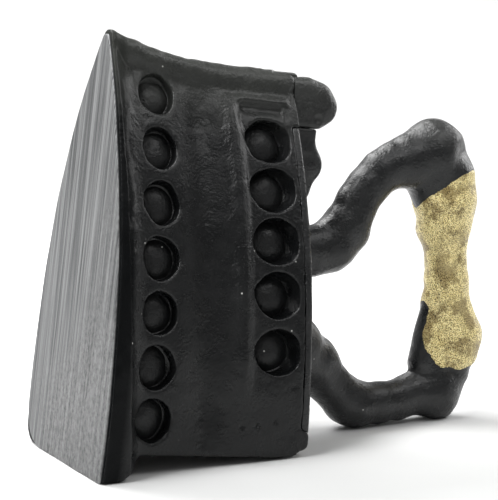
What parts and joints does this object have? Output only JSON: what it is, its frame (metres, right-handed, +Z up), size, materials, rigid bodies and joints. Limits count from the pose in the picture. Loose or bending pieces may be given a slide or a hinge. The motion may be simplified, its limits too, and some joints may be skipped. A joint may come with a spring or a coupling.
{
  "type": "charcoal box iron",
  "caption": "Black cast box iron for charcoal with a hinged lid, a nose hook, rows of domed studs along both sides and a bone-shaped gilt grip.",
  "frame": {"origin": "middle of the footprint's length and width, on the floor that the iron's heel stands on", "axes": "+X from the sole's side towards the handle, +Y across the width, +Z up from the heel to the nose, as the iron stands on its heel"},
  "size_m": [0.2306, 0.096, 0.1984],
  "materials": {
    "sole_iron": "ground flat, with lengthwise file marks",
    "black_enamel": "satin black paint over a rough casting",
    "steel": "plain worn steel",
    "gilt": "grainy gold paint with dark mottling"
  },
  "bodies": {
    "body": {"sole_plate": "sole_iron", "sole_dowels": "steel", "base_flange": "black_enamel", "body_shell": "black_enamel", "ledge_beads": "black_enamel", "lower_studs_left": "black_enamel", "lower_studs_right": "black_enamel", "upper_studs_left": "black_enamel", "upper_studs_right": "black_enamel", "nose_post": "black_enamel", "latch_pin": "steel", "ember_grate": "steel", "grate_feet": "steel", "body_knuckles": "black_enamel", "hinge_pin": "steel"},
    "lid": {"lid_plate": "black_enamel", "lid_knuckles": "black_enamel", "lid_knob": "black_enamel", "lid_catch": "black_enamel", "heat_shield": "steel", "shield_rivets": "steel", "front_post": "black_enamel", "front_corner": "black_enamel", "rear_post": "black_enamel", "rear_corner": "black_enamel", "post_rivets": "steel", "tie_rod": "steel", "grip": "gilt"},
    "latch": {"latch_hook": "black_enamel"}
  },
  "joints": [
    {"name": "lid_hinge", "type": "hinge", "parent": "body", "child": "lid", "pos_m": [-0.01163, 0, 0.00805], "axis": [0, 1, 0], "range_deg": [0, 100]},
    {"name": "latch_pivot", "type": "hinge", "parent": "body", "child": "latch", "pos_m": [-0.00303, 0, 0.17129], "axis": [0, -1, 0], "range_deg": [0, 70]}
  ]
}
